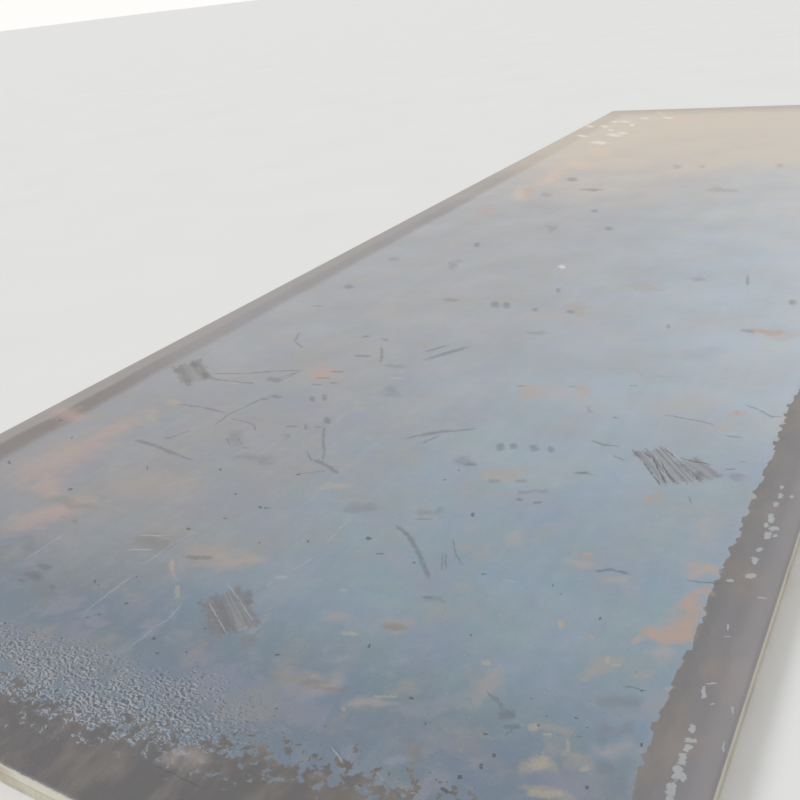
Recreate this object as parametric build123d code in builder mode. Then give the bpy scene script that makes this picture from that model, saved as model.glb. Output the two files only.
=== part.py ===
from build123d import *
import math
import os

# A hot-rolled steel plate, lying flat as it is stored.
#
# +X runs across the plate, +Y along it, which is the rolling direction, and +Z up.
# The origin is the middle of the underside. All sizes are in millimetres.

# The plate as it is sold
plate_length = 6000.0
plate_width = 2000.0
plate_thickness = 50.0

# The sheared edge, from the top face down: the knife first drags the face over in an arc,
# then rubs an upright band smooth, and the rest breaks away and stands back
rollover_run = 7.0
rollover_drop = 3.5
burnished_height = 17.0
fracture_setback = 1.5
foot_bevel = 1.2

# The long edges are trimmed in strokes, and each stroke's joint leaves an upright nick.
# The ends are cut in one stroke and have none.
trim_stroke = 1250.0
nick_radius = 3.0
nick_depth = 1.2

# Heights that follow from the sizes above
rollover_foot = plate_thickness - rollover_drop
burnished_foot = rollover_foot - burnished_height

# One nick fewer than the strokes that the length takes
nicks_per_side = math.ceil(plate_length / trim_stroke) - 1

# The nick's cutter leans with the fracture, so that the nick is as deep at its foot as at its head
cutter_axis_offset = nick_radius - fracture_setback - nick_depth
cutter_spacing = plate_width + 2 * cutter_axis_offset


with BuildPart() as steel_plate:
    # The same edge outline is drawn across the plate and along it, and the plate is what both
    # share, so that the four sheared edges meet in mitres at the corners
    for plane, span, run, mode in (
        (Plane.XZ, plate_width, plate_length, Mode.ADD),
        (Plane.YZ, plate_length, plate_width, Mode.INTERSECT),
    ):
        edge = span / 2
        with BuildSketch(plane.offset(-run / 2)):
            with BuildLine():
                Line((0, plate_thickness), (edge - rollover_run, plate_thickness))
                TangentArc(
                    (edge - rollover_run, plate_thickness),
                    (edge, rollover_foot),
                    tangent=(1, 0),
                )
                Polyline(
                    (edge, rollover_foot),
                    (edge, burnished_foot),
                    (edge - fracture_setback, foot_bevel),
                    (edge - fracture_setback - foot_bevel, 0),
                    (0, 0),
                )
                mirror(about=Plane.YZ)
            make_face()
        extrude(amount=run, mode=mode)

    # The nicks between the strokes, down both long edges
    with GridLocations(cutter_spacing, trim_stroke, 2, nicks_per_side):
        Cone(
            bottom_radius=nick_radius,
            top_radius=nick_radius - fracture_setback,
            height=plate_thickness,
            align=(Align.CENTER, Align.CENTER, Align.MIN),
            mode=Mode.SUBTRACT,
        )

steel_plate.part.label = "steel_plate"

os.makedirs("parts", exist_ok=True)
export_step(steel_plate.part, "parts/steel_plate.step")
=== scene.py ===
"""A hot-rolled steel plate, dressed as it lies in a stockyard.

The faces carry the blue-grey scale of the mill. It has flaked off in brown-grey bands along
the edges, and the top has the rubs, scores, rust blooms and spots of handling. The four
edges are sheared: rolled over at the top, then rubbed smooth, then torn.
"""

import logging
import math
from dataclasses import dataclass, field, replace
from enum import Enum

import bpy
import numpy as np
from mathutils import Matrix, Vector, noise


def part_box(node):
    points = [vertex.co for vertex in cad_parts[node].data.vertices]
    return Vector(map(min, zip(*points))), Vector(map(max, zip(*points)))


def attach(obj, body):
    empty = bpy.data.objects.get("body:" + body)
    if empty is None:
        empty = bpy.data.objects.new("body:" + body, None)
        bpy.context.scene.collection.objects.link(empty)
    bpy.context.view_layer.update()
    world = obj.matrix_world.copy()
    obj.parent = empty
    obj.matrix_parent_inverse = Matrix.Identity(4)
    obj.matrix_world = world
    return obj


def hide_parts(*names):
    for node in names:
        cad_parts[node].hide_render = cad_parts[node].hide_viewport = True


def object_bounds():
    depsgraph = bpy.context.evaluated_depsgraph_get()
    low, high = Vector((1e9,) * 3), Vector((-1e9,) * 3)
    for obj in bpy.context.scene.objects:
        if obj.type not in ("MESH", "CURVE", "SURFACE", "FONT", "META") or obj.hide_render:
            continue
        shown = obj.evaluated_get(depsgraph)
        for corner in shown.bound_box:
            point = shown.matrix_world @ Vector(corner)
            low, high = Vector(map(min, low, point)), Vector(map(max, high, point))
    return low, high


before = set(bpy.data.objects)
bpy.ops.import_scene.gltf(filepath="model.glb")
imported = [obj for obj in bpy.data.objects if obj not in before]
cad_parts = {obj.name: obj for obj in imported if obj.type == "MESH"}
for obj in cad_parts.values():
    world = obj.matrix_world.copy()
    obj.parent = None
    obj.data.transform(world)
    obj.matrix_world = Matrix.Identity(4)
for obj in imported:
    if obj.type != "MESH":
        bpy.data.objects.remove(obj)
cad_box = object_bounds()

MM = 0.001
TOP_HEIGHT = cad_box[1][2]
TOP_CELL = 20.0
NODE = "steel_plate"
TORN = "torn"

Colour = tuple[float, float, float]
Point = tuple[float, float]
log = logging.getLogger("plate")


def seen(red: float, green: float, blue: float) -> Colour:
    """Turns a colour as the eye reads it into the linear one that a shader takes.

    Args:
        red: The red, from 0 to 255.
        green: The green, from 0 to 255.
        blue: The blue, from 0 to 255.

    Returns:
        The linear colour, each part from 0 to 1.
    """
    knee, slope, offset, power = 0.04045, 12.92, 0.055, 2.4
    shares = (part / 255 for part in (red, green, blue))
    return tuple(
        s / slope if s <= knee else ((s + offset) / (1 + offset)) ** power for s in shares
    )


class Wire:
    """A node's output, with the arithmetic of numbers or of vectors."""

    def __init__(self, graph: "Graph", socket: bpy.types.NodeSocket) -> None:
        """Wraps an output socket of a graph."""
        self.graph = graph
        self.socket = socket

    @staticmethod
    def _has_parts(term: "Wire | float | Colour") -> bool:
        """Whether a term is a vector and not a number."""
        return term.socket.type == "VECTOR" if isinstance(term, Wire) else isinstance(term, tuple)

    def _sum(self, operation: str, *terms: "Wire | float | Colour") -> "Wire":
        """Adds a Math node, or a Vector Math node where a term has three parts.

        Args:
            operation: The node's operation.
            terms: What goes into its sockets, in order.

        Returns:
            The node's result.
        """
        kind = "VectorMath" if any(map(self._has_parts, terms)) else "Math"
        return self.graph.wire(kind, {"operation": operation}, dict(enumerate(terms)))

    def __add__(self, other: "Wire | float | Colour") -> "Wire":
        """This plus the other."""
        return self._sum("ADD", self, other)

    def __sub__(self, other: "Wire | float | Colour") -> "Wire":
        """This less the other."""
        return self._sum("SUBTRACT", self, other)

    def __mul__(self, other: "Wire | float | Colour") -> "Wire":
        """This times the other.

        Args:
            other: A number, which scales a vector, or a term of the same kind as this.

        Returns:
            The product.
        """
        if self._has_parts(self) and not self._has_parts(other):
            return self.graph.wire("VectorMath", {"operation": "SCALE"}, {0: self, "Scale": other})
        return self._sum("MULTIPLY", self, other)

    def __truediv__(self, other: "Wire | float") -> "Wire":
        """This divided by the other."""
        return self._sum("DIVIDE", self, other)

    def __rsub__(self, other: float) -> "Wire":
        """The other less this."""
        return self._sum("SUBTRACT", other, self)

    __radd__ = __add__
    __rmul__ = __mul__

    def __abs__(self) -> "Wire":
        """The size of this, without its sign."""
        return self._sum("ABSOLUTE", self)

    def larger(self, other: "Wire | float") -> "Wire":
        """The larger of this and the other."""
        return self._sum("MAXIMUM", self, other)

    def smaller(self, other: "Wire | float") -> "Wire":
        """The smaller of this and the other."""
        return self._sum("MINIMUM", self, other)

    def root(self) -> "Wire":
        """The square root of this."""
        return self._sum("SQRT", self)

    def times_plus(self, factor: "Wire | Colour", addend: "Wire | Colour") -> "Wire":
        """This times a factor, plus an addend, in one node."""
        return self._sum("MULTIPLY_ADD", self, factor, addend)

    def thrice(self) -> "Wire":
        """A vector with this number in all three parts."""
        return self.graph.wire("CombineXYZ", {}, {"X": self, "Y": self, "Z": self})

    def part(self, axis: str) -> "Wire":
        """One part of this vector: X, Y or Z."""
        return self.graph.wire("SeparateXYZ", {}, {0: self}, axis)

    def rise(self, low: float, high: float) -> "Wire":
        """Goes smoothly from 0 where this is low to 1 where it is high.

        Args:
            low: Where the result is 0. It may be above high, for a fall.
            high: Where the result is 1.

        Returns:
            The result, from 0 to 1.
        """
        if low > high:
            return 1 - self.rise(high, low)
        sockets = {"Value": self, "From Min": low, "From Max": high}
        return self.graph.wire("MapRange", {"interpolation_type": "SMOOTHSTEP"}, sockets)

    def toward(self, other: "Wire | Colour", share: "Wire | float") -> "Wire":
        """Mixes this colour with another.

        Args:
            other: The other colour.
            share: How much of it, from 0 to 1.

        Returns:
            The mixed colour.
        """
        return self.graph.mixed(self, other, share)

    def moved(self, other: "Wire | float", share: "Wire | float") -> "Wire":
        """This number, moved towards another by a share."""
        return self + (other - self) * share


class Graph:
    """The node tree of a material or of the world."""

    def __init__(self, owner: bpy.types.Material | bpy.types.World) -> None:
        """Empties the owner's node tree.

        Args:
            owner: The material or the world.
        """
        owner.use_nodes = True
        self.owner = owner
        self.tree = owner.node_tree
        self.tree.nodes.clear()

    def node(
        self,
        kind: str,
        settings: dict[str, object] | None = None,
        sockets: dict[str | int, object] | None = None,
    ) -> bpy.types.Node:
        """Adds a node of any type.

        Args:
            kind: The type's name, after ShaderNode.
            settings: The node's own properties, which are set first.
            sockets: A value or a Wire for each input, by name or number.

        Returns:
            The node.
        """
        made = self.tree.nodes.new("ShaderNode" + kind)
        for name, value in (settings or {}).items():
            setattr(made, name, value)
        for key, value in (sockets or {}).items():
            socket = made.inputs[key]
            if isinstance(value, Wire):
                self.tree.links.new(value.socket, socket)
            elif isinstance(value, tuple) and socket.type == "RGBA":
                socket.default_value = (*value, 1.0)
            else:
                socket.default_value = value
        return made

    def wire(
        self,
        kind: str,
        settings: dict[str, object] | None = None,
        sockets: dict[str | int, object] | None = None,
        output: str | int = 0,
    ) -> Wire:
        """Adds a node of any type and wraps one of its outputs.

        Args:
            kind: The type's name, after ShaderNode.
            settings: The node's own properties, which are set first.
            sockets: A value or a Wire for each input, by name or number.
            output: The output, by name or number.

        Returns:
            The output.
        """
        return Wire(self, self.node(kind, settings, sockets).outputs[output])

    def mixed(self, first: "Wire | Colour", second: "Wire | Colour", share: "Wire | float") -> Wire:
        """Mixes two colours.

        Args:
            first: The colour where the share is 0.
            second: The colour where it is 1.
            share: How much of the second colour.

        Returns:
            The mixed colour.
        """
        factor, start, end, result = 0, 6, 7, 2
        sockets = {factor: share, start: first, end: second}
        return self.wire("Mix", {"data_type": "RGBA"}, sockets, result)

    def clouds(
        self, place: Wire, per_metre: float, detail: float = 3.0, roughness: float = 0.5
    ) -> Wire:
        """Noise about one half.

        Args:
            place: Where it is read, in metres.
            per_metre: How many of its cells a metre holds.
            detail: How many finer layers it has.
            roughness: How strong the finer layers are.

        Returns:
            The noise, mostly from 0.3 to 0.7.
        """
        sockets = {"Vector": place, "Scale": per_metre, "Detail": detail, "Roughness": roughness}
        return self.wire("TexNoise", {}, sockets)

    def wander(self, place: Wire, per_metre: float, reach: float) -> Wire:
        """Moves each place a little in X and Y, so that what is drawn there gets an uneven outline.

        Args:
            place: The places, in metres.
            per_metre: How many turns the outline takes in a metre.
            reach: About how far a place moves, in metres.

        Returns:
            The moved places.
        """
        sockets = {"Vector": place, "Scale": per_metre, "Detail": 1.0}
        drift = self.node("TexNoise", {}, sockets).outputs["Color"]
        centred = self.wire(
            "VectorMath", {"operation": "SUBTRACT"}, {0: Wire(self, drift), 1: (0.5, 0.5, 0.5)}
        )
        return place + centred * (4 * reach, 4 * reach, 0.0)

    def close(
        self, skin: "Skin", metallic: float = 0.0, specular: float = 0.5
    ) -> bpy.types.Material:
        """Ends the graph in a Principled surface.

        Args:
            skin: The colour, the roughness and the relief.
            metallic: How metallic the surface is.
            specular: The specular level.

        Returns:
            The finished material.
        """
        normal = self.wire("Bump", {}, {"Height": skin.height, "Distance": MM, "Strength": 1.0})
        sockets = {
            "Base Color": skin.colour,
            "Roughness": skin.roughness,
            "Metallic": metallic,
            "Specular IOR Level": specular,
            "Normal": normal,
        }
        surface = self.wire("BsdfPrincipled", {}, sockets)
        self.node("OutputMaterial", {}, {"Surface": surface})
        return self.owner


@dataclass
class Skin:
    """A surface that is built up in layers.

    Attributes:
        colour: Its colour.
        roughness: Its roughness.
        height: Its relief, in millimetres.
    """

    colour: Wire
    roughness: Wire
    height: Wire

    def lay(
        self,
        share: Wire,
        colour: Wire | Colour,
        roughness: float | None = None,
        height: float | None = None,
    ) -> None:
        """Lays another coat over part of the surface.

        Args:
            share: How much of the surface it covers, from 0 to 1.
            colour: The coat's colour.
            roughness: The coat's roughness, where that changes.
            height: How far the coat stands up, in millimetres, where it does.
        """
        self.colour = self.colour.toward(colour, share)
        if roughness is not None:
            self.roughness = self.roughness.moved(roughness, share)
        if height is not None:
            self.height = self.height + share * height

    def tint(self, amount: Wire, dark: Colour, light: Colour) -> None:
        """Makes the surface darker where the amount is below 0 and lighter where it is above."""
        self.colour = self.colour.toward(dark, (0 - amount).larger(0.0))
        self.colour = self.colour.toward(light, amount.larger(0.0))


@dataclass(frozen=True)
class Oval:
    """The outline of a mark on the top face. Sizes are in millimetres, from the plate's middle."""

    across: float
    along: float
    length: float
    width: float
    turn: float = 0.0

    def local(self, graph: Graph, place: Wire) -> Wire:
        """The places seen from the oval, which reaches from -1 to 1 each way.

        Args:
            graph: The graph to add to.
            place: The places, in metres.

        Returns:
            The places, with X along the oval's length.
        """
        sockets = {
            "Vector": place,
            "Location": (self.across * MM, self.along * MM, 0.0),
            "Rotation": (0.0, 0.0, math.radians(self.turn)),
            "Scale": (self.length / 2 * MM, self.width / 2 * MM, 1.0),
        }
        return graph.wire("Mapping", {"vector_type": "TEXTURE"}, sockets)

    def terms(self) -> tuple[Colour, Colour]:
        """What X, Y and 1 are multiplied by to go along the oval, and then across it.

        Returns:
            Three factors each way, for X and Y in metres. The outline is at -1 and 1.
        """
        cos, sin = math.cos(math.radians(self.turn)), math.sin(math.radians(self.turn))
        found = []
        for (x, y), size in zip(((cos, sin), (-sin, cos)), (self.length, self.width)):
            half = size / 2
            middle = x * self.across + y * self.along
            found.append((x / half / MM, y / half / MM, -middle / half))
        return tuple(found)


@dataclass(frozen=True)
class Area:
    """A part of the rolled faces with a finish of its own, which holds only the marks in reach.

    Attributes:
        left: Its lowest X, in millimetres from the plate's middle.
        right: Its highest X.
        near: Its lowest Y.
        far: Its highest Y.
        growth: How much further than its outline a mark may reach, as a share of its size.
        margin: How much further than that it may reach.
        shortest: The least that the longer side may be.
    """

    left: float
    right: float
    near: float
    far: float
    growth: float = 0.40
    margin: float = 35.0
    shortest: float = 240.0

    def meets(self, oval: Oval) -> bool:
        """Whether an oval's uneven outline can reach into the area.

        Args:
            oval: The oval.

        Returns:
            True where it can.
        """
        reach = max(oval.length, oval.width) * (0.5 + self.growth) + self.margin
        inside_x = self.left - reach < oval.across < self.right + reach
        return inside_x and self.near - reach < oval.along < self.far + reach

    def ovals(self, kind: "Kind") -> list[Oval]:
        """The area's marks of one kind."""
        return [oval for oval in MARKS[kind] if self.meets(oval)]

    def halves(self) -> "list[Area]":
        """Cuts the area in two, across its longer side.

        Returns:
            The two parts.
        """
        if self.right - self.left > self.far - self.near:
            cut = self.cell_line((self.left + self.right) / 2)
            return [replace(self, right=cut), replace(self, left=cut)]
        cut = self.cell_line((self.near + self.far) / 2)
        return [replace(self, far=cut), replace(self, near=cut)]

    @staticmethod
    def cell_line(place: float) -> float:
        """The line of the top's grid that is nearest to a place."""
        return round(place / TOP_CELL) * TOP_CELL

    def split(self, most: int) -> "list[Area]":
        """Cuts the area up until no part holds too many marks, or it gets too short.

        Args:
            most: How many marks a part may hold.

        Returns:
            The parts.
        """
        crowded = sum(len(self.ovals(kind)) for kind in Kind) > most
        if not crowded or max(self.right - self.left, self.far - self.near) < 2 * self.shortest:
            return [self]
        return [part for half in self.halves() for part in half.split(most)]


@dataclass(frozen=True)
class Trio:
    """Three ovals that are worked out together, one in each part of a vector."""

    ovals: tuple[Oval, Oval, Oval]

    def reach(self, x: Wire, y: Wire) -> Wire:
        """How far out a place is in each oval, whose ends are blunt.

        Args:
            x: The places' X in metres, three times.
            y: Their Y, three times.

        Returns:
            For each, 0 at its middle, 1 on its outline and more outside.
        """
        squares = None
        for way in range(2):
            by_x, by_y, plus = zip(*(oval.terms()[way] for oval in self.ovals))
            side = x.times_plus(by_x, y.times_plus(by_y, plus))
            if squares is None:
                square = side * side
                squares = square * square
            else:
                squares = side.times_plus(side, squares)
        return squares


def trios(ovals: list[Oval]) -> list[Trio]:
    """Shares ovals out in threes. The last one fills what is left over."""
    filled = ovals + ovals[-1:] * (-len(ovals) % 3)
    return [Trio(tuple(filled[first : first + 3])) for first in range(0, len(filled), 3)]


def stroke(width: float, *points: Point) -> list[Oval]:
    """A scrape along straight legs, as ovals that overlap where they meet.

    Args:
        width: The scrape's width, in millimetres.
        points: Where it starts, turns and ends, as across and along.

    Returns:
        One oval for each leg.
    """
    legs = []
    for (x0, y0), (x1, y1) in zip(points, points[1:]):
        run = math.hypot(x1 - x0, y1 - y0)
        turn = math.degrees(math.atan2(y1 - y0, x1 - x0))
        legs.append(Oval((x0 + x1) / 2, (y0 + y1) / 2, run + 2 * width, width, turn))
    return legs


@dataclass(frozen=True)
class Look:
    """How one kind of mark changes the scale under it.

    Attributes:
        colour: Its colour.
        cover: The most that it hides of the scale, from 0 to 1.
        fade: How deep inside the outline it reaches its full strength.
        rag: How much its texture eats into the outline.
        grain: How many cells of that texture a metre holds.
        roughness: Its roughness.
        loose: Whether its outline wanders by centimetres, as a bloom's does.
    """

    colour: Colour
    cover: float
    fade: float
    rag: float
    grain: float
    roughness: float
    loose: bool = False


class Kind(Enum):
    """The kinds of mark, in the order that they lie on the scale."""

    HAZE = Look(seen(170, 158, 152), 0.42, 1.0, 0.9, 25.0, 0.45, loose=True)
    PEACH = Look(seen(212, 186, 168), 0.50, 1.0, 1.0, 25.0, 0.50, loose=True)
    # Near-white patches on the far part of the top: painted glints of light on the wavy scale.
    DUST = Look(seen(236, 227, 214), 0.66, 0.9, 2.2, 60.0, 0.50)
    BLOOM = Look(seen(172, 151, 144), 0.62, 1.0, 1.2, 25.0, 0.45, loose=True)
    RUST = Look(seen(176, 148, 130), 0.74, 0.9, 1.1, 25.0, 0.50, loose=True)
    TAN = Look(seen(156, 147, 139), 0.50, 0.9, 1.6, 25.0, 0.45, loose=True)
    LILAC = Look(seen(142, 144, 162), 0.42, 1.0, 0.9, 25.0, 0.35, loose=True)
    CLOUD = Look(seen(106, 108, 112), 0.38, 1.0, 1.0, 25.0, 0.45, loose=True)
    OCHRE = Look(seen(176, 164, 138), 0.40, 0.7, 2.0, 160.0, 0.50)
    MUD = Look(seen(122, 114, 108), 0.52, 0.9, 1.3, 60.0, 0.50)
    PALE = Look(seen(186, 192, 198), 0.20, 0.9, 1.7, 60.0, 0.45)
    RUB = Look(seen(86, 88, 94), 0.48, 0.8, 0.8, 60.0, 0.42)
    SCORE = Look(seen(62, 66, 72), 0.70, 0.6, 0.8, 160.0, 0.40)
    SPOT = Look(seen(54, 58, 66), 0.66, 0.5, 1.1, 160.0, 0.40)
    SCRAPE = Look(seen(176, 178, 180), 0.42, 0.6, 0.8, 160.0, 0.38)
    FLAKE = Look(seen(162, 165, 167), 0.88, 0.2, 2.2, 160.0, 0.34)


def ovals(*rows: tuple[float, ...]) -> list[Oval]:
    """Ovals from rows of across, along, length, width and, where it isn't 0, turn."""
    return [Oval(*row) for row in rows]


def strokes(*rows: tuple[float | Point, ...]) -> list[Oval]:
    """Scrapes from rows of a width and then the points that each runs through."""
    return [leg for width, *points in rows for leg in stroke(width, *points)]


@dataclass(frozen=True)
class Camera:
    """The camera, at the near right corner of the plate.

    Attributes:
        eye: Where it is, in metres.
        lens: Its focal length, in millimetres.
        film: How wide its film is, in millimetres.
        picture: How wide and high its picture is, in pixels.
        turn: How many degrees it is turned from +Y to the left.
        tilt: How many degrees it looks up from straight down.
        roll: How many degrees it leans.
    """

    eye: tuple[float, float, float] = (1.17501, -3.52153, 1.05244)
    lens: float = 41.082
    film: float = 36.0
    picture: float = 800.0
    turn: float = 33.128
    tilt: float = 65.4405
    roll: float = -6.893

    def pose(self) -> Matrix:
        """Works out where the camera is and which way it looks.

        Returns:
            Its place in the scene.
        """
        turn = Matrix.Rotation(math.radians(self.turn), 4, "Z")
        tilt = Matrix.Rotation(math.radians(self.tilt), 4, "X")
        roll = Matrix.Rotation(math.radians(self.roll), 4, "Z")
        return Matrix.Translation(self.eye) @ turn @ tilt @ roll

    def on_top(self, across: float, down: float) -> np.ndarray:
        """Finds the point of the top face that shows at a place in the picture.

        Args:
            across: The pixels from the picture's left edge.
            down: The pixels from its upper edge.

        Returns:
            The point's X and Y, in millimetres from the plate's middle.
        """
        half, pixel = self.picture / 2, self.film / self.picture
        aim = Vector(((across - half) * pixel, (half - down) * pixel, -self.lens))
        sight = self.pose().to_3x3() @ aim
        reach = (TOP_HEIGHT - self.eye[2]) / sight.z
        return np.array((Vector(self.eye) + sight * reach).xy) / MM


CAMERA = Camera()


@dataclass(frozen=True)
class Window:
    """An enlarged part of the camera's picture, in which marks were measured.

    Attributes:
        left: The picture's pixels on its left.
        top: The picture's pixels above it.
        across: How many of the picture's pixels it is wide.
        shown: How many pixels wide it was when the marks were measured.
    """

    left: float
    top: float
    across: float
    shown: float = 1568.0

    def on_top(self, x: float, y: float) -> np.ndarray:
        """The point of the top face at a place in the window, in millimetres."""
        scale = self.across / self.shown
        return CAMERA.on_top(self.left + x * scale, self.top + y * scale)

    def oval(self, x: float, y: float, wide: float, tall: float) -> Oval:
        """Lays on the plate the upright oval that was measured in the window.

        Args:
            x: Its middle's pixels from the window's left edge.
            y: Its middle's pixels from the window's upper edge.
            wide: How many pixels wide it is.
            tall: How many pixels high it is.

        Returns:
            The oval as it lies on the plate.
        """
        side = self.on_top(x + wide / 2, y) - self.on_top(x - wide / 2, y)
        rise = self.on_top(x, y + tall / 2) - self.on_top(x, y - tall / 2)
        ways, sizes, _ = np.linalg.svd(np.stack((side, rise), axis=1))
        lean = math.degrees(math.atan2(ways[1, 0], ways[0, 0]))
        turn = (lean + 90) % 180 - 90
        return Oval(*self.on_top(x, y).tolist(), *sizes.tolist(), turn)

    def ovals(
        self, *rows: tuple[float, float, float, float], longer: float = 1.0, wider: float = 1.0
    ) -> list[Oval]:
        """Ovals from rows of what was measured in the window.

        Args:
            rows: The middle's x and y, the width and the height of each.
            longer: What each length on the plate is multiplied by.
            wider: What each width is multiplied by.

        Returns:
            The ovals as they lie on the plate.
        """
        plain = [self.oval(*row) for row in rows]
        return [replace(o, length=o.length * longer, width=o.width * wider) for o in plain]

    def strokes(self, *rows: tuple[float | Point, ...]) -> list[Oval]:
        """Scrapes whose points were measured in the window.

        Args:
            rows: For each the width in millimetres and then the points that it runs through.

        Returns:
            The scrapes' legs as they lie on the plate.
        """
        placed = [
            (width, *(tuple(self.on_top(*point).tolist()) for point in points))
            for width, *points in rows
        ]
        return strokes(*placed)


UPPER = Window(440, 100, 360)
FAR = Window(500, 90, 300)
LEFT = Window(150, 340, 330)
RIGHT = Window(470, 360, 330)
EDGE = Window(480, 340, 320)
LOW_LEFT = Window(0, 350, 350)
LOW = Window(130, 540, 340)
LOW_RIGHT = Window(470, 560, 330)

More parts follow.
